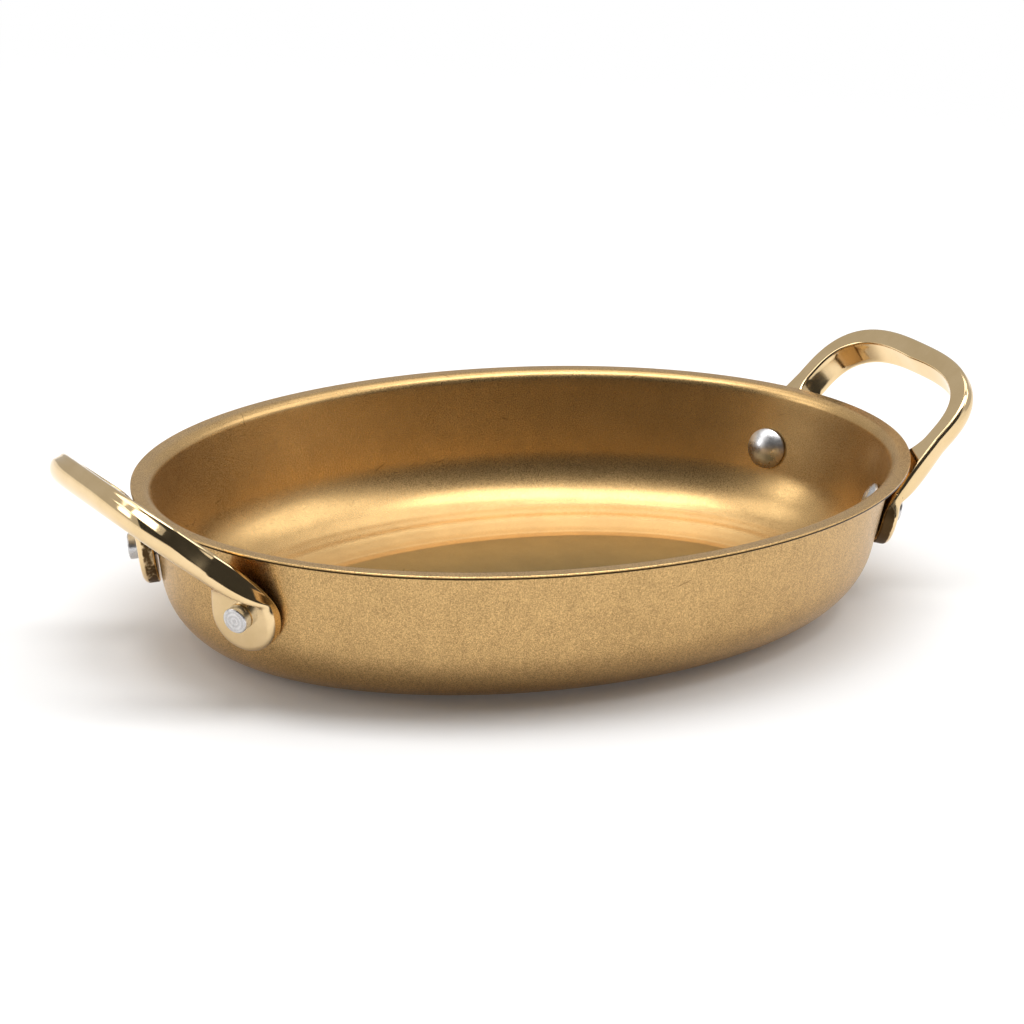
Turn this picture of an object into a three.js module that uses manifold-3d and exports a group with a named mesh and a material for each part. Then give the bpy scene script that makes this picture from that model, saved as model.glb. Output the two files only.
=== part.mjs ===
// Oval serving pan: a pan pressed from one sheet, with an out-turned lip, and two cast loop handles.
// Two solid rivets hold each handle, with a domed head inside the pan and a tail outside the lug.
// Millimetres, +Z up, +X along the pan. The origin is the centre of the base's underside.
import * as THREE from "three";
import { mergeVertices } from "three/addons/utils/BufferGeometryUtils.js";
import Module from "manifold-3d";

// Pan
const RIM_LENGTH = 180;
const RIM_WIDTH = 132;
const PAN_DEPTH = 33.6;
const SHEET = 0.8;
const LIP_OVERHANG = 3.5;
const LIP_BEND = 1.6;
const WALL_DRAFT = 10.4;
const BASE_RADIUS = 17;

// Rivets
const RIVET_SPACING = 43.2;
const RIVET_DROP = 13.7;
const SHANK_DIAMETER = 4.8;
const HEAD_DIAMETER = 9.1;
const HEAD_HEIGHT = 2.4;
const HEAD_EDGE = 0.5;
const TAIL_DIAMETER = 5.6;
const LEFT_TAIL_LENGTH = 2;
const RIGHT_TAIL_LENGTH = 1;
const TAIL_ROUND = 0.4;

// Handles: a loop bar on a slope, and a flat lug for each rivet
const RIGHT_SLOPE = 42.5;
const LEFT_SLOPE = 37.2;
const RIGHT_RISE = 2.4;
const LEFT_RISE = 1.5;
const HANDLE_REACH = 18.9;
const LOOP_WIDTH = 54.4;
const LOOP_SQUARENESS = 2.8;
const BAR_WIDTH = 5.4;
const BAR_END_WIDTH = 4.7;
const BAR_END_INSET = 1;
const BAR_THICKNESS = 6;
const RIGHT_BAR_ROUND = 4.4;
const LEFT_BAR_ROUND = 1.6;
const BAR_END_ROUND = 4;
const RIGHT_SIDE_INSET = 0;
const LEFT_SIDE_INSET = 0.9;
const BAR_ROUND_INNER = 0.9;
const TOP_EDGE_ROUND = 0.5;
const LUG_RADIUS = 7.7;
const LUG_DROP = 0.7;
const LUG_THICKNESS = 3.5;
const LUG_ROUND = 1.4;
const CREASE_HEIGHT = 5.3;
const CREASE_ROUND = 0.6;
const ARM_STRAIGHT = 1;
const FLARE_LEAD = 5;
const BEND_TENSION = 0.8;
const SWELL_FROM_SHARE = 0.1;
const SWELL_TO_SHARE = 0.8;

// Clearances between pieces that touch
const SEAT_GAP = 0.3;
const HOLE_CLEARANCE = 0.3;

// Facets
const AROUND_PAN = 80;
const BASE_ARC_STEPS = 8;
const LIP_ARC_STEPS = 5;
const AROUND_RIVET = 24;
const DOME_STEPS = 5;
const LUG_STEPS = 7;
const ROOT_STEPS = 12;
const CORNER_STEPS = 12;
const TOP_POINTS = 5;
const UNDER_POINTS = 10;
const LUG_TIP_ANGLE = 87;
const WELD_DISTANCE = 1e-4;

const rad = THREE.MathUtils.degToRad;
const vector = (x, y, z) => new THREE.Vector3(x, y, z);
const point = (x, y) => new THREE.Vector2(x, y);
const wasm = await Module();
wasm.setup();

// Closed surface through rings of equal count, from the first ring to the last, with fan-shaped ends.
function loft(rings) {
  const count = rings[0].length;
  const positions = rings.flat().flatMap((p) => [p.x, p.y, p.z]);
  const index = [];
  for (let r = 0; r + 1 < rings.length; r += 1) {
    for (let i = 0; i < count; i += 1) {
      const a = r * count + i;
      const b = r * count + ((i + 1) % count);
      index.push(a, b, a + count, b, b + count, a + count);
    }
  }
  const last = (rings.length - 1) * count;
  for (let i = 1; i + 1 < count; i += 1) {
    index.push(0, i + 1, i);
    index.push(last, last + i, last + i + 1);
  }
  const geometry = new THREE.BufferGeometry();
  geometry.setAttribute("position", new THREE.Float32BufferAttribute(positions, 3));
  geometry.setIndex(index);
  return geometry;
}

// A closed geometry as a solid that can be cut.
function solid(geometry) {
  const bare = new THREE.BufferGeometry();
  bare.setAttribute("position", geometry.getAttribute("position"));
  bare.setIndex(geometry.getIndex());
  const merged = mergeVertices(bare, WELD_DISTANCE);
  const vertProperties = new Float32Array(merged.getAttribute("position").array);
  const triVerts = new Uint32Array(merged.getIndex().array);
  return new wasm.Manifold(new wasm.Mesh({ numProp: 3, vertProperties, triVerts }));
}

function geometryOf(body) {
  const mesh = body.getMesh();
  const geometry = new THREE.BufferGeometry();
  geometry.setAttribute("position", new THREE.Float32BufferAttribute(mesh.vertProperties, 3));
  geometry.setIndex(new THREE.BufferAttribute(mesh.triVerts, 1));
  geometry.computeVertexNormals();
  return geometry;
}

// Points of an arc of the given radius that is tangent to the two legs of a corner.
function fillet(before, corner, after, radius, steps) {
  const back = before.clone().sub(corner).normalize();
  const ahead = after.clone().sub(corner).normalize();
  const half = Math.acos(back.dot(ahead)) / 2;
  const bisector = back.clone().add(ahead).normalize();
  const centre = corner.clone().addScaledVector(bisector, radius / Math.sin(half));
  const leg = radius / Math.tan(half);
  const start = corner.clone().addScaledVector(back, leg).sub(centre);
  const end = corner.clone().addScaledVector(ahead, leg).sub(centre);
  const turn = Math.atan2(start.cross(end), start.dot(end));
  const points = [];
  for (let i = 0; i <= steps; i += 1) {
    points.push(start.clone().rotateAround(point(0, 0), (turn * i) / steps).add(centre));
  }
  return points;
}

// Wall

// Distance in from the lip's edge to the wall's outer face at a height, on the straight stretch.
const wallSlope = Math.tan(rad(WALL_DRAFT));
const lipUnderside = PAN_DEPTH - SHEET;
const wallInset = (height) => LIP_OVERHANG + (lipUnderside - height) * wallSlope;

// Half section of the sheet, as distance in from the lip's edge (x) and height (y).
function sheetSection() {
  const across = SHEET / Math.cos(rad(WALL_DRAFT));
  const innerInset = (height) => wallInset(height) + across;
  const middle = RIM_WIDTH / 2;
  const outerBase = fillet(
    point(middle, 0),
    point(wallInset(0), 0),
    point(wallInset(lipUnderside), lipUnderside),
    BASE_RADIUS,
    BASE_ARC_STEPS,
  );
  const outerLip = fillet(
    point(wallInset(0), 0),
    point(wallInset(lipUnderside), lipUnderside),
    point(0, lipUnderside),
    LIP_BEND,
    LIP_ARC_STEPS,
  );
  const innerLip = fillet(
    point(0, PAN_DEPTH),
    point(innerInset(PAN_DEPTH), PAN_DEPTH),
    point(innerInset(SHEET), SHEET),
    LIP_BEND + SHEET,
    LIP_ARC_STEPS,
  );
  const innerBase = fillet(
    point(innerInset(PAN_DEPTH), PAN_DEPTH),
    point(innerInset(SHEET), SHEET),
    point(middle, SHEET),
    BASE_RADIUS - SHEET,
    BASE_ARC_STEPS,
  );
  const edge = [point(0, lipUnderside), point(0, PAN_DEPTH)];
  return [...outerBase, ...outerLip, ...edge, ...innerLip, ...innerBase];
}

// Oval ring at a distance in from the lip's edge.
function ovalRing(inset, height) {
  const ring = [];
  for (let i = 0; i < AROUND_PAN; i += 1) {
    const angle = (2 * Math.PI * i) / AROUND_PAN;
    const x = (RIM_LENGTH / 2 - inset) * Math.cos(angle);
    const y = (RIM_WIDTH / 2 - inset) * Math.sin(angle);
    ring.push(vector(x, y, height));
  }
  return ring;
}

const sheetRings = sheetSection().map((p) => ovalRing(p.x, p.y));

// Rivet seats

// Frame of the rivet at the back (+Y) of the right-hand end: the place on the wall's outer face, the
// outward normal, the level direction along the wall and the direction up the wall.
function rivetSeat() {
  const height = PAN_DEPTH - RIVET_DROP;
  const halfLength = RIM_LENGTH / 2 - wallInset(height);
  const halfWidth = RIM_WIDTH / 2 - wallInset(height);
  const angle = Math.asin(RIVET_SPACING / 2 / halfWidth);
  const place = vector(halfLength * Math.cos(angle), halfWidth * Math.sin(angle), height);
  const along = vector(-halfLength * Math.sin(angle), halfWidth * Math.cos(angle), 0).normalize();
  const rise = vector(wallSlope * Math.cos(angle), wallSlope * Math.sin(angle), 1);
  const normal = along.clone().cross(rise).normalize();
  const up = normal.clone().cross(along);
  return { place, normal, along, up };
}

const seat = rivetSeat();
const towardsAxis = new THREE.Quaternion().setFromUnitVectors(vector(0, 1, 0), seat.normal);

// A turned piece whose axis runs outward through the rivet's place on the wall.
function turnedOnSeat(profile) {
  const geometry = new THREE.LatheGeometry(profile, AROUND_RIVET);
  geometry.applyQuaternion(towardsAxis);
  geometry.translate(seat.place.x, seat.place.y, seat.place.z);
  return geometry;
}

// How far a round face of this radius must stand off the curved inner wall to clear it at its edge.
function standOff(radius) {
  const halfLength = RIM_LENGTH / 2 - wallInset(seat.place.z);
  const halfWidth = RIM_WIDTH / 2 - wallInset(seat.place.z);
  const sharpest = halfWidth ** 2 / halfLength;
  return radius ** 2 / (2 * sharpest);
}

const lugBack = SEAT_GAP;
const lugFace = lugBack + LUG_THICKNESS;
const headSeat = -SHEET - SEAT_GAP - standOff(HEAD_DIAMETER / 2);

// Profile of a rivet, as radius (x) and distance out from the wall's outer face (y), from head to tail.
function rivetProfile(tailLength) {
  const shank = SHANK_DIAMETER / 2;
  const head = HEAD_DIAMETER / 2;
  const tail = TAIL_DIAMETER / 2;
  const profile = [];
  const cap = HEAD_HEIGHT - HEAD_EDGE;
  const domeRadius = (head ** 2 + cap ** 2) / (2 * cap);
  const domeAngle = Math.asin(head / domeRadius);
  for (let i = 0; i <= DOME_STEPS; i += 1) {
    const angle = (domeAngle * i) / DOME_STEPS;
    const drop = domeRadius * (1 - Math.cos(angle));
    profile.push(point(domeRadius * Math.sin(angle), headSeat - HEAD_HEIGHT + drop));
  }
  const tailEnd = lugFace + SEAT_GAP + tailLength;
  profile.push(point(head, headSeat));
  profile.push(point(shank, headSeat));
  profile.push(point(shank, lugFace + SEAT_GAP));
  profile.push(point(tail, lugFace + SEAT_GAP + TAIL_ROUND));
  profile.push(point(tail, tailEnd - TAIL_ROUND));
  profile.push(point(tail - TAIL_ROUND, tailEnd));
  profile.push(point(0, tailEnd));
  return profile;
}

// Cutter for the rivet's hole through the wall and the lug.
function holeProfile() {
  const radius = SHANK_DIAMETER / 2 + HOLE_CLEARANCE;
  const inside = headSeat - HEAD_HEIGHT;
  const outside = lugFace + BAR_THICKNESS;
  return [point(0, inside), point(radius, inside), point(radius, outside), point(0, outside)];
}

// Handle

const flareEnd = -ARM_STRAIGHT;
const outerArm = LOOP_WIDTH / 2;
const innerArm = outerArm - BAR_WIDTH;
const lugOrigin = seat.place.clone().addScaledVector(seat.normal, lugBack).addScaledVector(seat.up, -LUG_DROP);
const onLug = (t, u) => lugOrigin.clone().addScaledVector(seat.along, t).addScaledVector(seat.up, u);

// Sloping plane of a loop's top face: its point above the lip's edge, its two directions, and a point on it
// at a distance out along the slope (s) and across (y).
function loopPlane(slope, rise) {
  const origin = vector(RIM_LENGTH / 2, 0, PAN_DEPTH + rise);
  const out = vector(Math.cos(rad(slope)), 0, Math.sin(rad(slope)));
  const down = vector(Math.sin(rad(slope)), 0, -Math.cos(rad(slope)));
  const at = (s, y) => origin.clone().addScaledVector(out, s).add(vector(0, y, 0));
  return { origin, out, down, at };
}

// How much a rounded edge takes off at a distance in from that edge.
const edgeDrop = (distance, radius) =>
  distance < radius ? radius - Math.sqrt(radius ** 2 - (radius - distance) ** 2) : 0;

// Thickness at a point of the top face, in the direction through the handle. It reaches to the lug's
// outer face or the under face, whichever is farther, with a small round where the two meet. The under face
// leaves the lug at a level crease above the rivet and turns into the bar's own by the end of the root.
function thicknessAt(loop, place, depth, share) {
  const crease = onLug(0, CREASE_HEIGHT).addScaledVector(seat.normal, LUG_THICKNESS);
  const barUnder = loop.at(flareEnd, (innerArm + outerArm) / 2).addScaledVector(loop.down, BAR_THICKNESS);
  const rootDown = seat.along.clone().cross(barUnder.sub(crease)).normalize();
  const toLugFace = (LUG_THICKNESS - place.clone().sub(lugOrigin).dot(seat.normal)) / depth.dot(seat.normal);
  const toRootFace = crease.sub(place).dot(rootDown) / depth.dot(rootDown);
  const toBarFace = (BAR_THICKNESS - place.clone().sub(loop.origin).dot(loop.down)) / depth.dot(loop.down);
  const toUnder = THREE.MathUtils.lerp(toRootFace, toBarFace, THREE.MathUtils.smoothstep(share, 0, 1));
  return (toLugFace + toUnder + Math.hypot(toLugFace - toUnder, CREASE_ROUND)) / 2;
}

// Section ring from the loop's inner edge across the top to the outer edge, and back underneath. depth is
// the direction through it, reach turns a place across into its distances from the two edges, lean moves the
// inner edge underneath, and topInset makes the top narrower at the outer edge.
function sectionRing({ loop, share, inner, outer, depth, roundInner, roundOuter, reach, lean, topInset = 0 }) {
  const width = inner.distanceTo(outer);
  const side = outer.clone().sub(inner).normalize();
  const distances = reach ?? ((x) => [x, width - x]);
  const ring = [];
  const place = (x) => inner.clone().addScaledVector(side, x);
  for (let i = 0; i < TOP_POINTS; i += 1) {
    const x = ((width - topInset) * (1 - Math.cos((Math.PI * i) / (TOP_POINTS - 1)))) / 2;
    const [fromInner, fromOuter] = distances(x);
    const lost = edgeDrop(Math.max(0, Math.min(fromInner, fromOuter - topInset)), TOP_EDGE_ROUND);
    ring.push(place(x).addScaledVector(depth, lost));
  }
  for (let i = UNDER_POINTS - 1; i >= 0; i -= 1) {
    const x = (width * (1 - Math.cos((Math.PI * i) / (UNDER_POINTS - 1)))) / 2;
    const [fromInner, fromOuter] = distances(x);
    const lost = Math.max(edgeDrop(fromInner, roundInner), edgeDrop(fromOuter, roundOuter));
    const above = place(x);
    const under = above.clone().addScaledVector(depth, thicknessAt(loop, above, depth, share) - lost);
    ring.push(lean ? under.addScaledVector(lean, 1 - x / width) : under);
  }
  return ring;
}

// Rounded end of the lug, from its lowest point up to the rivet.
function lugRings(loop) {
  const rings = [];
  for (let i = 0; i < LUG_STEPS; i += 1) {
    const angle = rad(LUG_TIP_ANGLE) * (1 - i / LUG_STEPS);
    const half = LUG_RADIUS * Math.cos(angle);
    const below = -LUG_RADIUS * Math.sin(angle);
    const fromEdge = (x) => Math.max(0, LUG_RADIUS - Math.hypot(x - half, below));
    rings.push(
      sectionRing({
        loop,
        share: 0,
        inner: onLug(-half, below),
        outer: onLug(half, below),
        depth: seat.normal,
        roundInner: LUG_ROUND,
        roundOuter: LUG_ROUND,
        reach: (x) => [fromEdge(x), fromEdge(x)],
      }),
    );
  }
  return rings;
}

// Root: the lug bends outward below the lip and narrows into the bar. Each edge is one smooth curve.
function rootRings(loop, { barRound, sideInset }) {
  const foldHeight = (t) =>
    loop.origin.clone().sub(onLug(t, 0)).dot(loop.down) / seat.up.dot(loop.down);
  const fold = (t) => onLug(t, foldHeight(t));
  const outerEdge = new THREE.CubicBezierCurve3(
    onLug(LUG_RADIUS, 0),
    onLug(LUG_RADIUS, BEND_TENSION * foldHeight(LUG_RADIUS)),
    loop.at(flareEnd, outerArm).lerp(fold(LUG_RADIUS), BEND_TENSION),
    loop.at(flareEnd, outerArm),
  );
  const innerEdge = new THREE.CubicBezierCurve3(
    onLug(-LUG_RADIUS, 0),
    onLug(-LUG_RADIUS, foldHeight(-LUG_RADIUS)),
    loop.at(flareEnd - FLARE_LEAD, innerArm),
    loop.at(flareEnd, innerArm),
  );
  const rings = [];
  for (let i = 0; i < ROOT_STEPS; i += 1) {
    const share = i / ROOT_STEPS;
    const blend = THREE.MathUtils.smoothstep(share, SWELL_FROM_SHARE, SWELL_TO_SHARE);
    const inner = innerEdge.getPoint(share);
    const outer = outerEdge.getPoint(share);
    const ahead = innerEdge.getTangent(share).add(outerEdge.getTangent(share));
    rings.push(
      sectionRing({
        loop,
        share,
        inner,
        outer,
        depth: outer.clone().sub(inner).cross(ahead).normalize(),
        roundInner: THREE.MathUtils.lerp(LUG_ROUND, BAR_ROUND_INNER, blend),
        roundOuter: THREE.MathUtils.lerp(LUG_ROUND, barRound, blend),
        topInset: sideInset * blend,
      }),
    );
  }
  return rings;
}

// Bar: the arm and half of the loop's end, all on the slope. Its edges are quarters of two superellipses,
// and its inner side leans in at the loop's end.
function barRings(loop, { barRound, sideInset }) {
  const rings = [];
  for (let i = -1; i <= CORNER_STEPS; i += 1) {
    const angle = ((Math.PI / 2) * Math.max(i, 0)) / CORNER_STEPS;
    const along = i < 1 ? 0 : Math.sin(angle) ** (2 / LOOP_SQUARENESS);
    const across = i === CORNER_STEPS ? 0 : Math.cos(angle) ** (2 / LOOP_SQUARENESS);
    const start = i < 0 ? flareEnd : 0;
    const at = (reach, arm) => loop.at(start + reach * along, arm * across);
    rings.push(
      sectionRing({
        loop,
        share: 1,
        inner: at(HANDLE_REACH - BAR_END_WIDTH, innerArm),
        outer: at(HANDLE_REACH, outerArm),
        depth: loop.down,
        roundInner: BAR_ROUND_INNER,
        roundOuter: THREE.MathUtils.lerp(barRound, BAR_END_ROUND, along),
        topInset: sideInset * across,
        lean: loop.out.clone().multiplyScalar(-BAR_END_INSET * along),
      }),
    );
  }
  return rings;
}

const mirrored = (ring) => ring.map((p) => vector(p.x, -p.y, p.z));
function handleRings(end) {
  const loop = loopPlane(end.slope, end.rise);
  const half = [...lugRings(loop), ...rootRings(loop, end), ...barRings(loop, end)];
  return [...half.map(mirrored), ...half.slice(0, -1).reverse()];
}

// Assembly

const gold = new THREE.MeshStandardMaterial({ color: 0xc39e6a, roughness: 0.42, metalness: 1 });
const brass = new THREE.MeshStandardMaterial({ color: 0xe6cd96, roughness: 0.15, metalness: 1 });
const steel = new THREE.MeshStandardMaterial({ color: 0xc9c6c4, roughness: 0.3, metalness: 1 });

const hole = solid(turnedOnSeat(holeProfile()));
const turned = (body, flipX, flipY) => {
  const half = flipX ? body.rotate([0, 0, 180]) : body;
  return flipX === flipY ? half : half.mirror([0, 1, 0]);
};
const ends = [
  {
    side: "right",
    flipX: false,
    slope: RIGHT_SLOPE,
    rise: RIGHT_RISE,
    barRound: RIGHT_BAR_ROUND,
    sideInset: RIGHT_SIDE_INSET,
    tailLength: RIGHT_TAIL_LENGTH,
  },
  {
    side: "left",
    flipX: true,
    slope: LEFT_SLOPE,
    rise: LEFT_RISE,
    barRound: LEFT_BAR_ROUND,
    sideInset: LEFT_SIDE_INSET,
    tailLength: LEFT_TAIL_LENGTH,
  },
];
const sides = [
  { place: "back", flipY: false },
  { place: "front", flipY: true },
];

const pan = new THREE.Group();
function add(name, body, material) {
  const mesh = new THREE.Mesh(geometryOf(body), material.clone());
  mesh.name = name;
  pan.add(mesh);
}

let panBody = solid(loft(sheetRings));
for (const end of ends) {
  const { side, flipX, tailLength } = end;
  const handle = sides.reduce(
    (body, { flipY }) => body.subtract(turned(hole, false, flipY)),
    solid(loft(handleRings(end))),
  );
  const rivet = solid(turnedOnSeat(rivetProfile(tailLength)));
  add(`${side}_handle`, turned(handle, flipX, flipX), brass);
  for (const { place, flipY } of sides) {
    panBody = panBody.subtract(turned(hole, flipX, flipY));
    add(`rivet_${side}_${place}`, turned(rivet, flipX, flipY), steel);
  }
}
add("pan_body", panBody, gold);

export default pan;
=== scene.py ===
"""Oval serving pan: a pressed pan in satin gold, two polished cast handles and four steel rivets.

The script follows the pan as it is put together: the pressing, the castings, the rivets, then the studio.
Each surface is a formula on a grid, worked out with numpy as whole arrays.
"""

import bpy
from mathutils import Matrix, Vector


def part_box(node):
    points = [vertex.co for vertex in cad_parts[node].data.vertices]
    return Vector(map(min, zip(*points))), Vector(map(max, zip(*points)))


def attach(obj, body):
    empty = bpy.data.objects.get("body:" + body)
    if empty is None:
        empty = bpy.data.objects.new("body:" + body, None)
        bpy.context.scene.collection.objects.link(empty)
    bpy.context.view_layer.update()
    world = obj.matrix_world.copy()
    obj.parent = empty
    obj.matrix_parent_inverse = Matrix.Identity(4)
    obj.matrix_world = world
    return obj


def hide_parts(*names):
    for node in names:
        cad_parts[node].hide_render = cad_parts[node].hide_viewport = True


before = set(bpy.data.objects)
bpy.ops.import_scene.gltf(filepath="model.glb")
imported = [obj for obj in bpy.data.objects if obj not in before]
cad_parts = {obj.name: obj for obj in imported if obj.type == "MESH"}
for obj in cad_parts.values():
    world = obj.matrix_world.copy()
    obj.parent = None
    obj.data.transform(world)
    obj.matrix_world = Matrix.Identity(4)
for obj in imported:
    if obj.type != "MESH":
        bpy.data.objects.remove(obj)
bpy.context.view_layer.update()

import bmesh
import bpy
import numpy as np
from mathutils import Matrix

# Pan body: one oval pressed from a steel sheet, with a flat base, a round base edge, a steep wall and a lip
# turned out level. It is coated gold and tumbled, which leaves a satin skin full of short fine marks.

MM = 0.001
SHEET = 0.8 * MM
LIP_OVERHANG = 3.5 * MM
LIP_BEND = 1.6 * MM
LIP_EDGE_ROUND = 0.25 * MM
CHAMFER_RUN = 0.12 * MM
CHAMFER_DROP = 0.09 * MM
# Painted shade: how far up the lip's cut edge the dark painted shade under the lip reaches.
BURR_SHADE_HEIGHT = 0.5 * MM
WALL_DRAFT = np.radians(10.4)
BASE_RADIUS = 17 * MM
RIDGE_PLACE = 24.9 * MM
RIDGE_WIDTH = 0.45 * MM
RIDGE_RISE = 0.09 * MM
STEP_HEIGHT = 0.15 * MM
STEP_FROM = 11 * MM
STEP_TOP = 19.5 * MM
FLOOR_RUN = 28 * MM
RIPPLE_HEIGHT = 0.032 * MM
RIPPLE_LENGTH = 2.3 * MM
RIPPLE_FROM = 12 * MM
RIPPLE_TO = 24 * MM
DISH_SLOPE = np.tan(np.radians(15))
DISH_FROM = 17 * MM
DISH_FULL = 20.5 * MM
DISH_FADE_FROM = 12 * MM
DISH_FADE_TO = 30 * MM
FLAT_EDGE = 0.8 * MM
AROUND_PAN = 384
MIDDLE_RINGS = 13
MIDDLE_RING_SHARE = 0.04
LIP_SHARP_ANGLE = 33

pan_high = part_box("pan_body")[1]
half_length, half_width, pan_depth = pan_high.x, pan_high.y, pan_high.z
lip_underside = pan_depth - SHEET
wall_slope = np.tan(WALL_DRAFT)


def wall_inset(height):
    """From the lip's edge in to the wall's outer face: the overhang plus the draft times the depth."""
    return LIP_OVERHANG + (lip_underside - height) * wall_slope


def arc(centre, radius, start, end, count):
    """Points centre + radius * (cos, sin) at count equal steps of the angle from start to end, in degrees."""
    angle = np.radians(np.linspace(start, end, count))
    return np.stack([centre[0] + radius * np.cos(angle), centre[1] + radius * np.sin(angle)], axis=1)


def run(start, end, count):
    """Points on the straight line between two points, without the points themselves."""
    share = np.linspace(0, 1, count + 2)[1:-1, None]
    return (1 - share) * np.array(start) + share * np.array(end)


def sheet_profile():
    """Section of the sheet as distance in from the lip's edge and height, up the outside and down the inside.

    Each bend is an arc tangent to its two straight runs. The draft turns the wall, so an arc between level
    and wall sweeps 90 degrees less the draft.
    """
    draft = np.degrees(WALL_DRAFT)
    across = SHEET / np.cos(WALL_DRAFT)
    tangent = np.tan((np.pi / 2 - WALL_DRAFT) / 2)
    outer_base = wall_inset(0) + BASE_RADIUS * tangent, BASE_RADIUS
    outer_lip = LIP_OVERHANG - LIP_BEND * tangent, lip_underside - LIP_BEND
    inner_lip = wall_inset(pan_depth) + across - (LIP_BEND + SHEET) * tangent, pan_depth - LIP_BEND - SHEET
    inner_base = wall_inset(SHEET) + across + (BASE_RADIUS - SHEET) * tangent, BASE_RADIUS
    edge = LIP_EDGE_ROUND
    under_bend = arc(outer_base, BASE_RADIUS, 270, 180 + draft, count=28)
    under_lip = arc(outer_lip, LIP_BEND, draft, 90, count=10)
    lower_edge = arc((edge, lip_underside + edge), edge, 270, 180, count=5)
    upper_edge = np.array([[0, pan_depth - CHAMFER_DROP], [CHAMFER_RUN, pan_depth]])
    lip_bend = arc(inner_lip, LIP_BEND + SHEET, 90, draft, count=18)
    floor_bend = arc(inner_base, BASE_RADIUS - SHEET, 180 + draft, 270, count=76)
    return np.concatenate([
        under_bend,
        run(under_bend[-1], under_lip[0], count=6),
        under_lip,
        run(under_lip[-1], lower_edge[0], count=4),
        lower_edge,
        run(lower_edge[-1], upper_edge[0], count=4),
        upper_edge,
        run(upper_edge[-1], lip_bend[0], count=5),
        lip_bend,
        run(lip_bend[-1], floor_bend[0], count=8),
        floor_bend,
        run(floor_bend[-1], (FLOOR_RUN, SHEET), count=40),
    ])


def smooth(value, low, high):
    """Rise from 0 to 1 between two values, level at both ends: 3 t^2 - 2 t^3."""
    t = np.clip((value - low) / (high - low), 0, 1)
    return t * t * (3 - 2 * t)


def press_relief(inset, height):
    """Height that the press adds to the inner face, for points in order from the lip to the middle.

    Faint rings on the low part of the bend are a sine of the distance in, which fades at both ends. A ridge
    round the flat floor is a bell curve. A low step climbs the bend and falls off to the ridge as a square.
    Outside the ridge the floor is dished: a slope that fades out toward the wall is summed outward from the
    ridge, and the rise that it gives fades out up the wall.
    """
    band = np.clip((inset - RIPPLE_FROM) / (RIPPLE_TO - RIPPLE_FROM), 0, 1)
    ripple = RIPPLE_HEIGHT * np.sin(2 * np.pi * inset / RIPPLE_LENGTH) * np.sin(np.pi * band) ** 2
    ridge = RIDGE_RISE * np.exp(-(((inset - RIDGE_PLACE) / RIDGE_WIDTH) ** 2))
    fall = np.clip((inset - STEP_TOP) / (RIDGE_PLACE - STEP_TOP), 0, 1)
    step = STEP_HEIGHT * (smooth(inset, STEP_FROM, STEP_TOP) - fall * fall)
    slope = DISH_SLOPE * np.where(inset < RIDGE_PLACE, smooth(inset, DISH_FROM, DISH_FULL), 0)
    dish = np.cumsum((slope * np.gradient(inset))[::-1])[::-1]
    dish = dish * (1 - smooth(height, DISH_FADE_FROM, DISH_FADE_TO))
    return ripple + ridge + step + dish


def pan_surface():
    """Level ovals, one for each point of the section, and ovals that shrink to the middle of base and floor.

    A point on an oval is (a cos t, b sin t), where a and b are the lip's half axes less the distance in. The
    marks, one value for each point, are the lower part of the lip's cut edge, painted dark as the shade under
    the lip with a torn edge like a shear burr, the outside and the flat floor, which has painted shade too.
    """
    inset, height = sheet_profile().T
    inside = np.arange(len(inset)) > np.argmax(height)
    height[inside] += press_relief(inset[inside], height[inside])
    shrink = np.linspace(MIDDLE_RING_SHARE, 1, MIDDLE_RINGS, endpoint=False)
    long_axis = half_length - inset
    short_axis = half_width - inset
    long_axis = np.concatenate([long_axis[0] * shrink, long_axis, long_axis[-1] * shrink[::-1]])
    short_axis = np.concatenate([short_axis[0] * shrink, short_axis, short_axis[-1] * shrink[::-1]])
    height = np.concatenate([0 * shrink, height, SHEET + 0 * shrink])
    turn = np.linspace(0, 2 * np.pi, AROUND_PAN, endpoint=False)
    rings = np.stack([
        long_axis[:, None] * np.cos(turn),
        short_axis[:, None] * np.sin(turn),
        np.repeat(height[:, None], AROUND_PAN, axis=1),
    ], axis=2)
    middles = np.array([[0, 0, 0], [0, 0, SHEET]])
    # Painted shade: the lower part of the lip's cut edge, which the gold paints dark as the shade under the
    # lip.
    burr_shade = (height <= lip_underside + BURR_SHADE_HEIGHT) & (long_axis > half_length - 2 * LIP_EDGE_ROUND)
    outside = np.arange(len(height)) < np.argmax(height)
    past_ridge = half_length - long_axis - RIDGE_PLACE - RIDGE_WIDTH
    flat = np.where(outside, 0, np.clip(past_ridge / FLAT_EDGE, 0, 1))
    marks = {"burr_shade": burr_shade, "outside": outside, "flat": flat}
    marks = {name: np.append(np.repeat(mark, AROUND_PAN), mark[[0, -1]]) for name, mark in marks.items()}
    return rings, middles, marks


def grid_quads(rows, columns, closed):
    """Faces of a grid whose point (r, c) has the number r * columns + c. A closed grid joins its ends."""
    row = np.arange(rows - 1)[:, None]
    column = np.arange(columns if closed else columns - 1)[None, :]
    beside = (column + 1) % columns
    corners = [row * columns + column, row * columns + beside]
    corners += [(row + 1) * columns + beside, (row + 1) * columns + column]
    return np.stack(np.broadcast_arrays(*corners), axis=2).reshape(-1, 4)


def pan_faces(ring_count):
    """Faces between the ovals, and a fan from the smallest oval to the middle of base and floor."""
    first = np.arange(AROUND_PAN)
    beside = (first + 1) % AROUND_PAN
    last_ring = (ring_count - 1) * AROUND_PAN
    base_middle = np.full(AROUND_PAN, ring_count * AROUND_PAN)
    base_fan = np.stack([base_middle, beside, first], axis=1)
    floor_fan = np.stack([last_ring + first, last_ring + beside, base_middle + 1], axis=1)
    return [grid_quads(ring_count, AROUND_PAN, True), base_fan, floor_fan]


WELD_DISTANCE = 1e-6
SHARP_ANGLE = 40


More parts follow.
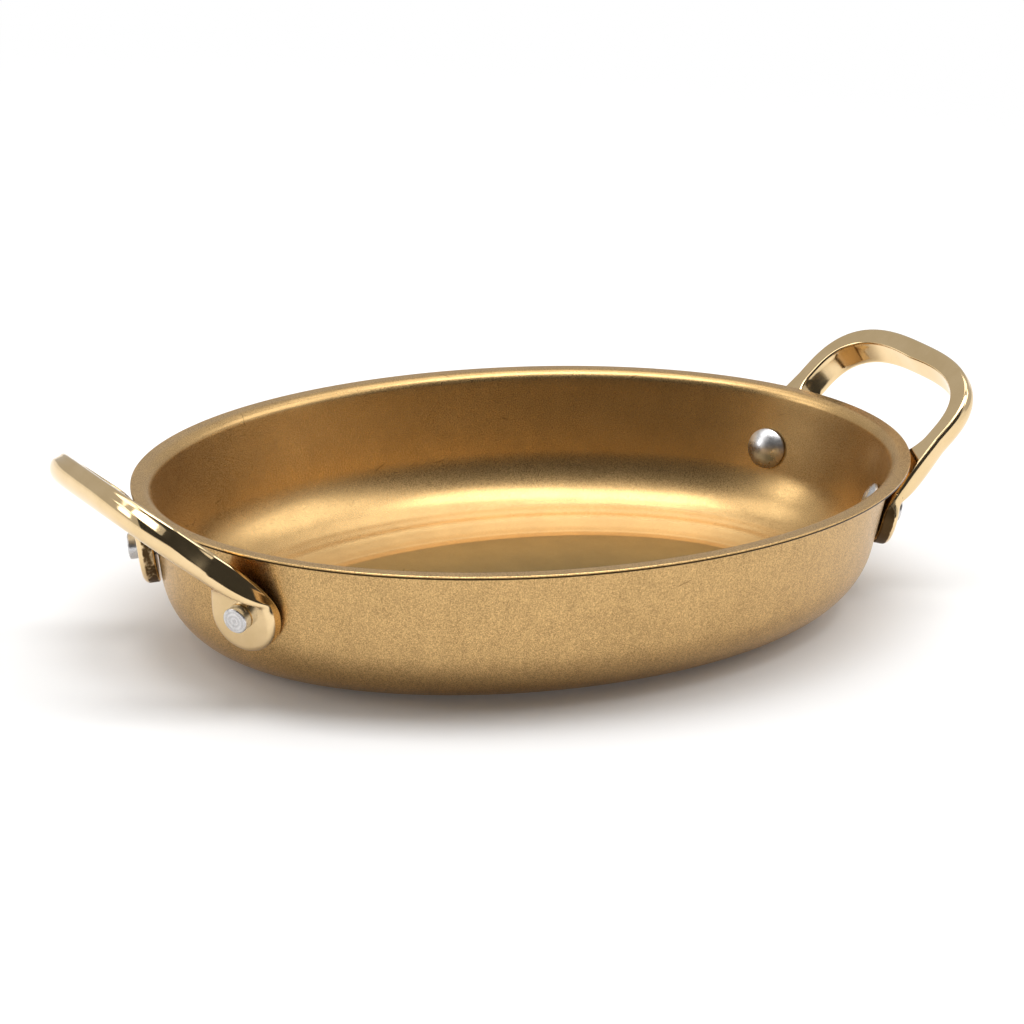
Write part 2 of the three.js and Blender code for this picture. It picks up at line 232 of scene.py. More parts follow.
def add_piece(name, points, faces, sharp_angle=SHARP_ANGLE, **marks):
    """Object at the origin from points and faces, welded, facing out, and smooth but for sharp edges.

    An edge is sharp over an angle. Each mark is a number for every point, kept as an attribute that a
    material can read.
    """
    mesh = bpy.data.meshes.new(name)
    mesh.from_pydata(points.reshape(-1, 3).tolist(), [], [face for part in faces for face in part.tolist()])
    for mark, values in marks.items():
        attribute = mesh.attributes.new(mark, "FLOAT", "POINT")
        attribute.data.foreach_set("value", values.ravel().astype(np.float32))
    work = bmesh.new()
    work.from_mesh(mesh)
    bmesh.ops.remove_doubles(work, verts=work.verts, dist=WELD_DISTANCE)
    bmesh.ops.recalc_face_normals(work, faces=work.faces)
    work.to_mesh(mesh)
    work.free()
    mesh.polygons.foreach_set("use_smooth", np.ones(len(mesh.polygons), bool))
    mesh.set_sharp_from_angle(angle=np.radians(sharp_angle))
    piece = bpy.data.objects.new(name, mesh)
    bpy.context.scene.collection.objects.link(piece)
    return piece


def node(tree, kind, settings=None, **inputs):
    """Node with its settings, whose inputs take a value or the output socket of another node.

    An input goes by its name, with _ for a space, or by its number after an i.
    """
    made = tree.nodes.new(f"ShaderNode{kind}")
    for name, value in (settings or {}).items():
        setattr(made, name, value)
    for name, value in inputs.items():
        socket = made.inputs[int(name[1:])] if name[1:].isdigit() else made.inputs[name.replace("_", " ")]
        if isinstance(value, bpy.types.NodeSocket):
            tree.links.new(value, socket)
        else:
            socket.default_value = value
    return made


def math(tree, operation, a, b=0.0, clamp=False):
    """Output of a Math node on two values or sockets."""
    return node(tree, "Math", {"operation": operation, "use_clamp": clamp}, i0=a, i1=b).outputs[0]


def plus(tree, a, b, clamp=False):
    """Sum of two values."""
    return math(tree, "ADD", a, b, clamp)


def minus(tree, a, b, clamp=False):
    """First value less the second."""
    return math(tree, "SUBTRACT", a, b, clamp)


def times(tree, a, b):
    """Product of two values."""
    return math(tree, "MULTIPLY", a, b)


def larger(tree, a, b):
    """Larger of two values."""
    return math(tree, "MAXIMUM", a, b)


def swing(tree, value, depth):
    """Value from 0 to 1 made to swing about 0 by a depth: (value - 1/2) * depth."""
    return times(tree, minus(tree, value, 0.5), depth)


def weighed(tree, first, second, share):
    """Sum of two values with the first at a share and the second at the rest."""
    return plus(tree, times(tree, first, share), times(tree, second, 1 - share))


def noise(tree, vector, scale, detail=2.0, roughness=0.5):
    """Value from 0 to 1 of a noise whose scale is in cells a metre."""
    return node(tree, "TexNoise", Vector=vector, Scale=scale, Detail=detail, Roughness=roughness).outputs[0]


def spread(tree, value, low, high, to_low=0.0, to_high=1.0):
    """Value from low to high carried smoothly to another range, and held at its ends."""
    settings = {"interpolation_type": "SMOOTHSTEP"}
    return node(tree, "MapRange", settings, i0=value, i1=low, i2=high, i3=to_low, i4=to_high).outputs[0]


def ragged(tree, mark, tear, depth, low, high):
    """Mark with a torn edge: itself plus itself times a noise that swings by a depth, then spread."""
    return spread(tree, plus(tree, mark, times(tree, swing(tree, tear, depth), mark)), low, high)


def mark_value(tree, name):
    """Value of a mark that add_piece keeps on the points."""
    return node(tree, "Attribute", {"attribute_name": name}).outputs["Fac"]


def blend(tree, share, first, second, kind="MIX"):
    """Colour that goes from a first to a second one, or to their product, by a share."""
    settings = {"data_type": "RGBA", "blend_type": kind}
    return node(tree, "Mix", settings, i0=share, i6=first, i7=second).outputs[2]


def new_metal(name):
    """Metal material with its node tree, its shader and the place on the piece."""
    metal = bpy.data.materials.new(name)
    metal.use_nodes = True
    tree = metal.node_tree
    shader = tree.nodes["Principled BSDF"]
    shader.inputs["Metallic"].default_value = 1.0
    return metal, tree, shader, node(tree, "TexCoord").outputs["Object"]


def finish_metal(tree, shader, colour, roughness, strength, depth, height):
    """Links a metal's colour and roughness to its shader, and a height through a bump."""
    tree.links.new(colour, shader.inputs["Base Color"])
    tree.links.new(roughness, shader.inputs["Roughness"])
    bump = node(tree, "Bump", Strength=strength, Distance=depth, Height=height)
    tree.links.new(bump.outputs[0], shader.inputs["Normal"])


SKIN_INPUTS = (("Vector", "Vector", None), ("Grain Scale", "Float", 5000.0), ("Cloud Scale", "Float", 160.0))
SKIN_OUTPUTS = ("Grain", "Clouds", "Height")
COARSE_SCALE = 0.4
FINE_SHARE = 0.75
SKIN_RANGE = 0.3, 0.7


def tumbled_skin():
    """Node group shared by the metals: grain and cloudy patches, each from 0 to 1, and a height for bump.

    The grain is a fine noise and a coarser one in fixed shares. The height is that sum before it is spread.
    """
    group = bpy.data.node_groups.new("tumbled_skin", "ShaderNodeTree")
    for label, kind, value in SKIN_INPUTS:
        socket = group.interface.new_socket(label, in_out="INPUT", socket_type=f"NodeSocket{kind}")
        if value is not None:
            socket.default_value = value
    for label in SKIN_OUTPUTS:
        group.interface.new_socket(label, in_out="OUTPUT", socket_type="NodeSocketFloat")
    vector, grain_scale, cloud_scale = group.nodes.new("NodeGroupInput").outputs[:3]
    made = group.nodes.new("NodeGroupOutput")
    fine = noise(group, vector, grain_scale, roughness=0.6)
    coarse = noise(group, vector, times(group, grain_scale, COARSE_SCALE), roughness=0.6)
    clouds = noise(group, vector, cloud_scale, detail=3.0, roughness=0.55)
    grain = weighed(group, fine, coarse, FINE_SHARE)
    group.links.new(spread(group, grain, *SKIN_RANGE), made.inputs["Grain"])
    group.links.new(spread(group, clouds, *SKIN_RANGE), made.inputs["Clouds"])
    group.links.new(grain, made.inputs["Height"])
    return group


tumbled = tumbled_skin()

GOLD_DARK = (0.32, 0.203, 0.083, 1)
GOLD_LIGHT = (0.79, 0.515, 0.222, 1)
# Painted shade under the lip: a dark colour on the lower part of the cut edge, with a torn edge like a burr.
BURR_SHADE_COLOUR = (0.05, 0.03, 0.012, 1)
SCRATCH_COLOUR = (0.22, 0.13, 0.05, 1)
# Painted shade for the flat floor: the gold is multiplied by this to make it darker and greyer.
FLOOR_SHADE = (0.58, 0.70, 0.80, 1)
GRAIN_DEPTH_INSIDE = 0.2
GRAIN_DEPTH_OUTSIDE = 1.1
PATCH_DEPTH = 0.1
STREAK_DEPTH = 0.07
STREAK_STRETCH = (1.0, 1.0, 0.12)
STREAK_SCALE = 900.0
STREAK_RANGE = 0.35, 0.65
MIDDLE_TONE = 0.5
SCRATCH_SCALE = 48.0
SCRATCH_WIDTH = 0.004, 0.009
SCRATCH_PATCH_SCALE = 120.0
SCRATCH_PATCH_RANGE = 0.62, 0.7
SCRATCH_DEPTH = 0.7
BURR_SHADE_TEAR_SCALE = 500.0
BURR_SHADE_TEAR_DEPTH = 1.2
BURR_SHADE_RANGE = 0.4, 0.7
DULL_SCALE = 9000.0
DULL_RANGE = 0.42, 0.60
GOLD_ROUGHNESS = 0.25, 0.48
FLOOR_ROUGHER = 0.08
FLOOR_LEVEL = 1.0 * MM, 4.0 * MM
GOLD_BUMP = 0.35
GOLD_BUMP_DEPTH = 0.02 * MM


def satin_gold():
    """Tumbled gold: grain, patches and upright streaks between two golds, few scratches and painted shade at
    the lip.

    The grain is strong outside and faint inside, and the flat floor is a little rougher. Painted shade makes
    the flat floor darker and greyer.
    """
    gold, tree, shader, place = new_metal("satin_gold")
    skin = node(tree, "Group", {"node_tree": tumbled}, Vector=place)
    outside = mark_value(tree, "outside")
    grain_depth = spread(tree, outside, 0.0, 1.0, GRAIN_DEPTH_INSIDE, GRAIN_DEPTH_OUTSIDE)
    grain = swing(tree, skin.outputs["Grain"], grain_depth)
    patch = swing(tree, skin.outputs["Clouds"], PATCH_DEPTH)
    stretched = node(tree, "Mapping", Vector=place, Scale=STREAK_STRETCH).outputs[0]
    streaks = spread(tree, noise(tree, stretched, STREAK_SCALE), *STREAK_RANGE)
    streak = swing(tree, streaks, times(tree, outside, STREAK_DEPTH))
    tone = plus(tree, plus(tree, grain, patch), plus(tree, streak, MIDDLE_TONE), clamp=True)
    colour = blend(tree, tone, GOLD_DARK, GOLD_LIGHT)
    cells = node(tree, "TexVoronoi", {"feature": "DISTANCE_TO_EDGE"}, Vector=place, Scale=SCRATCH_SCALE)
    lines = spread(tree, cells.outputs[0], *SCRATCH_WIDTH, 1.0, 0.0)
    scratch_patch = spread(tree, noise(tree, place, SCRATCH_PATCH_SCALE), *SCRATCH_PATCH_RANGE)
    scratches = times(tree, times(tree, lines, scratch_patch), SCRATCH_DEPTH)
    colour = blend(tree, scratches, colour, SCRATCH_COLOUR)
    # Painted shade: the lower part of the lip's cut edge is painted dark, with a torn edge like a burr.
    tear = noise(tree, place, BURR_SHADE_TEAR_SCALE, detail=3.0, roughness=0.7)
    burr_shade = ragged(tree, mark_value(tree, "burr_shade"), tear, BURR_SHADE_TEAR_DEPTH, *BURR_SHADE_RANGE)
    colour = blend(tree, burr_shade, colour, BURR_SHADE_COLOUR)
    # Painted shade: the flat floor is darkened and greyed.
    colour = blend(tree, mark_value(tree, "flat"), colour, FLOOR_SHADE, "MULTIPLY")
    dull = spread(tree, noise(tree, place, DULL_SCALE, detail=1.0), *DULL_RANGE)
    level = node(tree, "SeparateXYZ", Vector=place).outputs["Z"]
    on_floor = minus(tree, spread(tree, level, *FLOOR_LEVEL, 1.0, 0.0), outside, clamp=True)
    roughness = spread(tree, dull, 0.0, 1.0, *GOLD_ROUGHNESS)
    roughness = plus(tree, times(tree, on_floor, FLOOR_ROUGHER), roughness)
    finish_metal(tree, shader, colour, roughness, GOLD_BUMP, GOLD_BUMP_DEPTH, skin.outputs["Height"])
    return gold


pan_rings, pan_middles, pan_marks = pan_surface()
pan_points = np.concatenate([pan_rings.reshape(-1, 3), pan_middles])
pan_body = add_piece("pan_body_skin", pan_points, pan_faces(len(pan_rings)), LIP_SHARP_ANGLE, **pan_marks)
pan_body.data.materials.append(satin_gold())
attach(pan_body, "root")
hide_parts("pan_body")

# Handles: two brass castings alike, ground and polished by hand. Each is a loop bar that bends down under the
# lip, widens into a flat lug at both feet and is held against the wall by a rivet through each lug.

SEAT_GAP = 0.3 * MM
RIVET_SPACING = 43.2 * MM
RIVET_DROP = 13.7 * MM
HOLE_RADIUS = 2.7 * MM
HANDLES = {
    "right": {
        "slope": np.radians(42.5),
        "rise": 2.4 * MM,
        "bar_round": 4.4 * MM,
        "side_inset": 0.0,
        "inner_inset": 1.2 * MM,
    },
    "left": {
        "slope": np.radians(37.2),
        "rise": 1.5 * MM,
        "bar_round": 1.6 * MM,
        "side_inset": 1.15 * MM,
        "inner_inset": 0.0,
    },
}
HANDLE_REACH = 18.8 * MM
LOOP_WIDTH = 54.4 * MM
LOOP_SQUARENESS = 2.8
BAR_WIDTH = 5.4 * MM
BAR_END_WIDTH = 4.7 * MM
BAR_END_INSET = 1 * MM
BAR_THICKNESS = 6 * MM
BAR_END_ROUND = 4 * MM
BAR_ROUND_INNER = 0.9 * MM
BAR_TOP_ROUND = {"outer": 0.9 * MM, "inner": 0.6 * MM}
LUG_RADIUS = 7.7 * MM
LUG_DROP = 0.7 * MM
LUG_THICKNESS = 3.5 * MM
LUG_ROUND = 1.4 * MM
LUG_BACK_ROUND = 0.5 * MM
CREASE_HEIGHT = 5.3 * MM
CREASE_ROUND = 0.6 * MM
ARM_STRAIGHT = 1 * MM
FLARE_LEAD = 5 * MM
BEND_TENSION = 0.8
SWELL_FROM = 0.1
SWELL_TO = 0.8
# How much of the casting's skin is left on each lug: right back and right front, left front and left back.
CAST_SKIN = {"right": (0.7, 1.0), "left": (0.35, 0.7)}
CAST_SKIN_FADE = 0.45
FOOT_ROWS = 30
ROOT_ROWS = 80
ROOT_CROWDING = 1.2
ARM_ROWS = 3
LOOP_ROWS = 72
FACE_POINTS = 9
SIDE_POINTS = 5
TOP_ARC_POINTS = 9
UNDER_ARC_POINTS = 16

Y_AXIS, Z_AXIS = np.eye(3)[1:]


def unit(vectors):
    """Each vector divided by its length."""
    return vectors / np.linalg.norm(vectors, axis=-1, keepdims=True)


def edge_drop(distance, radius):
    """How much a round takes off at a distance in from its edge: r - sqrt(r^2 - (r - d)^2)."""
    short = np.clip(radius - distance, 0, radius)
    return radius - np.sqrt(radius**2 - short**2)


def rivet_seat():
    """Place of the right back rivet on the wall's outer face, with the outward, level and upward directions.

    The place lies on the level oval at the rivet's height, where y is half the spacing.
    """
    height = pan_depth - RIVET_DROP
    long_axis = half_length - wall_inset(height)
    short_axis = half_width - wall_inset(height)
    turn = np.arcsin(RIVET_SPACING / 2 / short_axis)
    place = np.array([long_axis * np.cos(turn), short_axis * np.sin(turn), height])
    along = unit(np.array([-long_axis * np.sin(turn), short_axis * np.cos(turn), 0]))
    rise = np.array([wall_slope * np.cos(turn), wall_slope * np.sin(turn), 1])
    outward = unit(np.cross(along, rise))
    return place, outward, along, np.cross(outward, along)


seat_place, seat_outward, seat_along, seat_up = rivet_seat()
lug_middle = seat_place + SEAT_GAP * seat_outward - LUG_DROP * seat_up
outer_arm = LOOP_WIDTH / 2
inner_arm = outer_arm - BAR_WIDTH


def loop_plane(slope, rise):
    """Sloping plane of a loop's top: its point over the lip's edge, and the directions out and down."""
    origin = np.array([half_length, 0, pan_depth + rise])
    out = np.array([np.cos(slope), 0, np.sin(slope)])
    down = np.array([np.sin(slope), 0, -np.cos(slope)])
    return origin, out, down


def on_loop(loop, reach, across):
    """Point of a loop's top plane: the origin, out along the slope and across."""
    origin, out, down = loop
    return origin + np.multiply.outer(reach, out) + np.multiply.outer(across, Y_AXIS)


def on_lug(across, upward):
    """Point of the lug's back plane, from the middle of its round foot."""
    return lug_middle + np.multiply.outer(across, seat_along) + np.multiply.outer(upward, seat_up)


def fold(loop, across):
    """How far up the lug's back plane meets the loop's top plane, at a distance across the lug."""
    origin, out, down = loop
    return np.dot(origin - on_lug(across, 0), down) / np.dot(seat_up, down)


def bezier(share, a, b, c, d):
    """Points and directions of the cubic curve with end points a and d and handles b and c."""
    t = share[:, None]
    points = (1 - t) ** 3 * a + 3 * (1 - t) ** 2 * t * b + 3 * (1 - t) * t**2 * c + t**3 * d
    ahead = (1 - t) ** 2 * (b - a) + 2 * (1 - t) * t * (c - b) + t**2 * (d - c)
    return points, unit(ahead)


def root_edges(share, loop):
    """Edges of the root on the loop's side and on the outside: each one curve from the lug to the bar."""
    outer_fold = fold(loop, LUG_RADIUS)
    outer_start = on_lug(LUG_RADIUS, 0)
    outer_rise = on_lug(LUG_RADIUS, BEND_TENSION * outer_fold)
    outer_end = on_loop(loop, -ARM_STRAIGHT, outer_arm)
    outer_lead = (1 - BEND_TENSION) * outer_end + BEND_TENSION * on_lug(LUG_RADIUS, outer_fold)
    inner_start = on_lug(-LUG_RADIUS, 0)
    inner_rise = on_lug(-LUG_RADIUS, fold(loop, -LUG_RADIUS))
    inner_lead = on_loop(loop, -ARM_STRAIGHT - FLARE_LEAD, inner_arm)
    inner_end = on_loop(loop, -ARM_STRAIGHT, inner_arm)
    inner = bezier(share, inner_start, inner_rise, inner_lead, inner_end)
    outer = bezier(share, outer_start, outer_rise, outer_lead, outer_end)
    return inner, outer


def half_handle(slope, rise, bar_round, side_inset, inner_inset):
    """Rows of sections from the foot of a lug to the middle of the loop's end, as arrays.

    The foot is the lug's section turned about its middle. The root runs between two curves. The bar's edges
    are quarters of two superellipses, (sin t)^(2/n) out along the slope and (cos t)^(2/n) across. A row has
    its middle, the directions to its edges and through it, half its width, its share of the root, how far it
    has swelled from lug to bar, the rounds under its edges, how far its sides lean in at the top and the
    inner side leans underneath, and where the rivet's hole starts.
    """
    loop = loop_plane(slope, rise)
    turn = np.radians(np.linspace(90, 0, FOOT_ROWS, endpoint=False))[:, None]
    foot = np.ones(len(turn))
    share = np.linspace(0, 1, ROOT_ROWS, endpoint=False) ** ROOT_CROWDING
    swell = smooth(share, SWELL_FROM, SWELL_TO)
    (inner, inner_ahead), (outer, outer_ahead) = root_edges(share, loop)
    root_depth = unit(np.cross(outer - inner, inner_ahead + outer_ahead))
    angle = np.radians(np.linspace(0, 90, LOOP_ROWS))
    along = np.sin(angle) ** (2 / LOOP_SQUARENESS)
    across = np.clip(np.cos(angle), 0, 1) ** (2 / LOOP_SQUARENESS)
    across[-1] = 0
    arm = np.linspace(-ARM_STRAIGHT, 0, ARM_ROWS, endpoint=False)
    along = np.concatenate([0 * arm, along])
    across = np.concatenate([0 * arm + 1, across])
    start = np.concatenate([arm, np.zeros(len(angle))])
    bar = np.ones(len(along))
    inner_reach = start + (HANDLE_REACH - BAR_END_WIDTH) * along
    inner = np.concatenate([inner, on_loop(loop, inner_reach, inner_arm * across)])
    outer = np.concatenate([outer, on_loop(loop, start + HANDLE_REACH * along, outer_arm * across)])
    middle = (inner + outer) / 2
    sideways = unit(outer - inner)
    from_rivet = (middle - seat_place) @ seat_up
    foot_level, foot_drop = np.cos(turn), np.sin(turn)
    foot_hole = np.sqrt(HOLE_RADIUS**2 - (LUG_DROP * foot_level) ** 2) - LUG_DROP * foot_drop
    root_round_outer = LUG_ROUND + (bar_round - LUG_ROUND) * swell
    root_round_inner = LUG_ROUND + (BAR_ROUND_INNER - LUG_ROUND) * swell
    bar_round_outer = bar_round + (BAR_END_ROUND - bar_round) * along
    return {
        "loop": loop,
        "middle": np.concatenate([foot[:, None] * lug_middle, middle]),
        "to_outer": np.concatenate([foot_level * seat_along - foot_drop * seat_up, sideways]),
        "to_inner": np.concatenate([-foot_level * seat_along - foot_drop * seat_up, -sideways]),
        "through": np.concatenate([foot[:, None] * seat_outward, root_depth, bar[:, None] * loop[2]]),
        "half_width": np.concatenate([LUG_RADIUS * foot, np.linalg.norm(outer - inner, axis=1) / 2]),
        "share": np.concatenate([0 * foot, share, bar]),
        "swell": np.concatenate([0 * foot, swell, bar]),
        "round_outer": np.concatenate([LUG_ROUND * foot, root_round_outer, bar_round_outer]),
        "round_inner": np.concatenate([LUG_ROUND * foot, root_round_inner, BAR_ROUND_INNER * bar]),
        "inset_outer": side_inset * np.concatenate([0 * foot, swell, across]),
        "inset_inner": inner_inset * np.concatenate([0 * foot, swell, across]),
        "lean": np.concatenate([0 * foot, 0 * share, -BAR_END_INSET * along]),
        "hole": np.concatenate([foot_hole[:, 0], np.sqrt(np.maximum(HOLE_RADIUS**2 - from_rivet**2, 0))]),
    }


def thickness(rows, place):
    """Depth of the handle under points of its top face.

    It is the distance to the lug's outer face or to the under face, whichever is farther, with a small round
    where the two meet: (a + b + sqrt((a - b)^2 + r^2)) / 2. The under face leaves the lug at a level crease
    above the rivet and turns into the bar's own by the end of the root.
    """
    origin, out, down = rows["loop"]
    through = rows["through"][:, None]
    crease = on_lug(0, CREASE_HEIGHT) + LUG_THICKNESS * seat_outward
    bar_under = on_loop(rows["loop"], -ARM_STRAIGHT, (inner_arm + outer_arm) / 2) + BAR_THICKNESS * down
    root_down = unit(np.cross(seat_along, bar_under - crease))
    to_lug = (LUG_THICKNESS - (place - lug_middle) @ seat_outward) / (through @ seat_outward)
    to_root = ((crease - place) @ root_down) / (through @ root_down)
    to_bar = (BAR_THICKNESS - (place - origin) @ down) / (through @ down)
    turned = smooth(rows["share"], 0, 1)[:, None]
    to_under = (1 - turned) * to_root + turned * to_bar
    return (to_lug + to_under + np.hypot(to_lug - to_under, CREASE_ROUND)) / 2


def half_section(rows, edge):
    """Half of each section, from the hole or the middle of the top face round one edge to the under face.

    Straight runs and two arcs: x = edge - r + r sin(t) at an edge of radius r. Underneath, the rounds of both
    edges are taken off the thickness, whichever takes more. The second array tells how much of the casting's
    skin the grinder has left: all of it on a lug's side, none on the faces.
    """
    keys = ("half_width", "hole", "swell", f"round_{edge}", "round_outer", "round_inner")
    width, hole, swell, under, outer_round, inner_round = (rows[key][:, None] for key in keys)
    top = LUG_BACK_ROUND + (BAR_TOP_ROUND[edge] - LUG_BACK_ROUND) * swell
    upper = width - rows[f"inset_{edge}"][:, None]
    face = np.linspace(0, 1, FACE_POINTS, endpoint=False)
    side = np.linspace(0, 1, SIDE_POINTS + 2)[1:-1]
    top_turn = np.linspace(0, np.pi / 2, TOP_ARC_POINTS)
    under_share = np.linspace(0, 1, UNDER_ARC_POINTS)
    under_end = np.arccos(np.clip(1 - (width - hole) / under, 0, 1))
    arc_end = width - under + under * np.cos(under_end)
    x = np.concatenate([
        hole + (upper - top - hole) * face,
        upper - top + top * np.sin(top_turn),
        upper + (width - upper) * side,
        width - under + under * np.cos(under_end * under_share),
        (hole + (arc_end - hole) * face)[:, ::-1],
    ], axis=1)
    place = rows["middle"][:, None] + x[:, :, None] * rows[f"to_{edge}"][:, None]
    outward = x if edge == "outer" else -x
    lost = np.maximum(edge_drop(width - outward, outer_round), edge_drop(width + outward, inner_round))
    deep = thickness(rows, place)
    first_under = FACE_POINTS + TOP_ARC_POINTS + SIDE_POINTS
    beneath = (deep - lost)[:, first_under:]
    z = np.concatenate([
        0 * width + 0 * face,
        top - top * np.cos(top_turn),
        top + (beneath[:, :1] - top) * side,
        beneath,
    ], axis=1)
    shift = rows["lean"][:, None] * (0.5 - outward / (2 * width)) * z / deep
    points = place + z[:, :, None] * rows["through"][:, None] + shift[:, :, None] * rows["loop"][1]
    cast = np.concatenate([
        0 * face,
        np.sin(top_turn),
        1 + 0 * side,
        1 - smooth(under_share, 0, CAST_SKIN_FADE),
        0 * face,
    ])
    return points, (1 - swell) * cast


def handle_surface(shape, cast_skin):
    """Points, faces and casting skin of the right handle: two half skins and the walls of the rivet holes."""
    rows = half_handle(**shape)
    points, faces, marks, start = [], [], [], 0
    for edge in ("outer", "inner"):
        skin, mark = half_section(rows, edge)
        skin = np.concatenate([skin, skin[-2::-1] * [1, -1, 1]])
        mark = np.concatenate([cast_skin[0] * mark, cast_skin[1] * mark[-2::-1]])
        row_count, column_count = mark.shape
        points.append(skin.reshape(-1, 3))
        marks.append(mark.ravel())
        faces.append(start + grid_quads(row_count, column_count, False))
        open_rows = np.flatnonzero(rows["hole"] > 0)
        for near in (open_rows, row_count - 2 - open_rows):
            wall = np.stack([near, near + 1, near + 1, near], axis=1) * column_count
            faces.append(start + wall + np.array([0, 0, column_count - 1, column_count - 1]))
        start += row_count * column_count
    return np.concatenate(points), faces, np.concatenate(marks)


BRASS_DARK = (0.76, 0.56, 0.30, 1)
BRASS_LIGHT = (0.84, 0.63, 0.36, 1)
CAST_COLOUR = (0.10, 0.06, 0.025, 1)
BRASS_GRAIN_SCALE = 3400.0
BRASS_CLOUD_SCALE = 140.0
BRASS_GRAIN_SHARE = 0.25
CAST_TEAR_SCALE = 900.0
CAST_TEAR_DEPTH = 1.6
CAST_RANGE = 0.35, 0.75
PIT_SCALE = 1500.0
PIT_SHARE = 0.75, 1.0
PIT_PATCH_SCALE = 90.0
PIT_PATCH_RANGE = 0.64, 0.78
PIT_CAST_RANGE = 0.02, 0.2
PIT_RADIUS = 0.4
PIT_EDGE = 0.12
BRASS_ROUGHNESS = 0.07, 0.12
CAST_ROUGHER = 0.4
WAVE_SCALE = 70.0
WAVE_HEIGHT = 0.6
BRASS_GRAIN_HEIGHT = 0.02
CAST_DEPTH = 0.6
BRASS_BUMP = 0.5
BRASS_BUMP_DEPTH = 0.12 * MM


def polished_brass():
    """Polished brass that waves a little, with the dark casting skin where it is left, and round pits.

    A pit is a round in a cell of a pattern. Only cells with a high number have one, in patches and on lugs.
    """
    brass, tree, shader, place = new_metal("polished_brass")
    scales = {"Grain_Scale": BRASS_GRAIN_SCALE, "Cloud_Scale": BRASS_CLOUD_SCALE}
    skin = node(tree, "Group", {"node_tree": tumbled}, Vector=place, **scales)
    cast_left = mark_value(tree, "cast_skin")
    tear = noise(tree, place, CAST_TEAR_SCALE, detail=3.0, roughness=0.6)
    cast = ragged(tree, cast_left, tear, CAST_TEAR_DEPTH, *CAST_RANGE)
    cells = node(tree, "TexVoronoi", {"feature": "F1"}, Vector=place, Scale=PIT_SCALE)
    cell_number = node(tree, "SeparateColor", i0=cells.outputs["Color"]).outputs[0]
    patches = spread(tree, noise(tree, place, PIT_PATCH_SCALE, detail=1.0), *PIT_PATCH_RANGE)
    patches = larger(tree, patches, spread(tree, cast_left, *PIT_CAST_RANGE))
    pit_size = times(tree, spread(tree, cell_number, *PIT_SHARE), patches)
    from_edge = minus(tree, times(tree, pit_size, PIT_RADIUS), cells.outputs["Distance"])
    rough_cast = larger(tree, spread(tree, from_edge, 0.0, PIT_EDGE), cast)
    tone = weighed(tree, skin.outputs["Grain"], skin.outputs["Clouds"], BRASS_GRAIN_SHARE)
    colour = blend(tree, tone, BRASS_DARK, BRASS_LIGHT)
    colour = blend(tree, rough_cast, colour, CAST_COLOUR)
    roughness = spread(tree, skin.outputs["Clouds"], 0.0, 1.0, *BRASS_ROUGHNESS)
    roughness = plus(tree, roughness, times(tree, rough_cast, CAST_ROUGHER))
    waves = times(tree, noise(tree, place, WAVE_SCALE, detail=1.0), WAVE_HEIGHT)
    height = plus(tree, waves, times(tree, skin.outputs["Height"], BRASS_GRAIN_HEIGHT))
    height = minus(tree, height, times(tree, rough_cast, CAST_DEPTH))
    finish_metal(tree, shader, colour, roughness, BRASS_BUMP, BRASS_BUMP_DEPTH, height)
    return brass


brass = polished_brass()
for side, turned in (("right", 1), ("left", -1)):
    handle_points, handle_faces, cast_marks = handle_surface(HANDLES[side], CAST_SKIN[side])
    handle_points = handle_points * [turned, turned, 1]
    handle = add_piece(f"{side}_handle_casting", handle_points, handle_faces, cast_skin=cast_marks)
    handle.data.materials.append(brass)
    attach(handle, "root")
    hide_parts(f"{side}_handle")

# Rivets: solid steel, one through each lug and the wall. The head inside the pan is a low polished dome, and
# the plain tail that stands out of the lug is faced flat, with rings left by the tool.

SHANK_RADIUS = 2.4 * MM
HEAD_RADIUS = 4.55 * MM
HEAD_HEIGHT = 2.4 * MM
HEAD_EDGE = 0.5 * MM
TAIL_RADIUS = 2.8 * MM
TAIL_ROUND = 0.4 * MM
TAIL_LENGTHS = {"left": 2.0 * MM, "right": 1.0 * MM}
TOOL_RING = 0.9 * MM
AROUND_RIVET = 64
DOME_RINGS = 16
TAIL_ROUND_RINGS = 6
TAIL_FACE_RINGS = 29
RIVET_SHARP_ANGLE = 30


def rivet_profile(tail_length):
    """Radius and distance out from the wall's outer face, from the dome's top to the tail's middle.

    The dome is an arc of the sphere through its edge and its top: radius = (edge^2 + rise^2) / (2 rise).
    The head stands off the curved wall by the wall's rise across it: edge^2 / (2 wall radius).
    """
    height = pan_depth - RIVET_DROP
    wall_radius = (half_width - wall_inset(height)) ** 2 / (half_length - wall_inset(height))
    seat = -SHEET - SEAT_GAP - HEAD_RADIUS**2 / (2 * wall_radius)
    rise = HEAD_HEIGHT - HEAD_EDGE
    sphere = (HEAD_RADIUS**2 + rise**2) / (2 * rise)
    dome = np.linspace(0, np.arcsin(HEAD_RADIUS / sphere), DOME_RINGS)
    foot = SEAT_GAP + LUG_THICKNESS
    end = foot + SEAT_GAP + tail_length
    turn = np.linspace(0, np.pi / 2, TAIL_ROUND_RINGS)
    radius = np.concatenate([
        sphere * np.sin(dome),
        [HEAD_RADIUS, SHANK_RADIUS, SHANK_RADIUS, TAIL_RADIUS],
        TAIL_RADIUS - TAIL_ROUND + TAIL_ROUND * np.cos(turn),
        np.linspace(TAIL_RADIUS - TAIL_ROUND, 0, TAIL_FACE_RINGS + 1)[1:],
    ])
    out = np.concatenate([
        seat - HEAD_HEIGHT + sphere * (1 - np.cos(dome)),
        [seat, seat, foot, foot + SEAT_GAP],
        end - TAIL_ROUND + TAIL_ROUND * np.sin(turn),
        np.full(TAIL_FACE_RINGS, end),
    ])
    return radius, out


